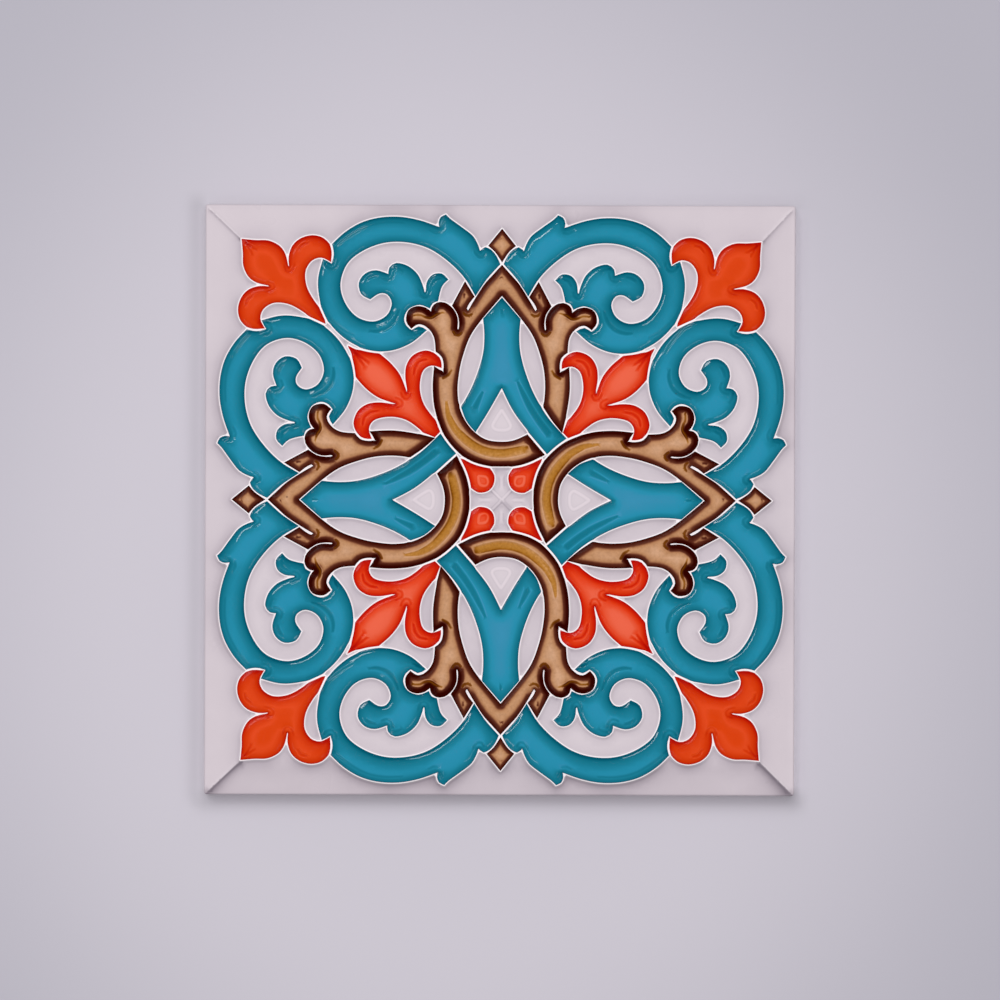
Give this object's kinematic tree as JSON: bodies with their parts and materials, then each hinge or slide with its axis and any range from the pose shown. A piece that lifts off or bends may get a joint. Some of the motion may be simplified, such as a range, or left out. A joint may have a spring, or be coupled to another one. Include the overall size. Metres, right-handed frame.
{
  "type": "hand-painted relief tile",
  "caption": "Square relief-moulded ceramic wall tile: glazed scrolls, flowers and interlaced straps raised on a pale field, with a plain sloping border.",
  "frame": {"origin": "centre of the flat back, at the bottom of the tile as it lies face up", "axes": "+Z out of the decorated face, +X to the right and +Y to the top of the face as pictured"},
  "size_m": [0.152, 0.152, 0.0091],
  "materials": {
    "glaze": "gloss glazes in pale lilac white, teal, orange red and honey brown over moulded relief; bare biscuit back"
  },
  "bodies": {
    "root": {"tile": "glaze"}
  },
  "joints": []
}
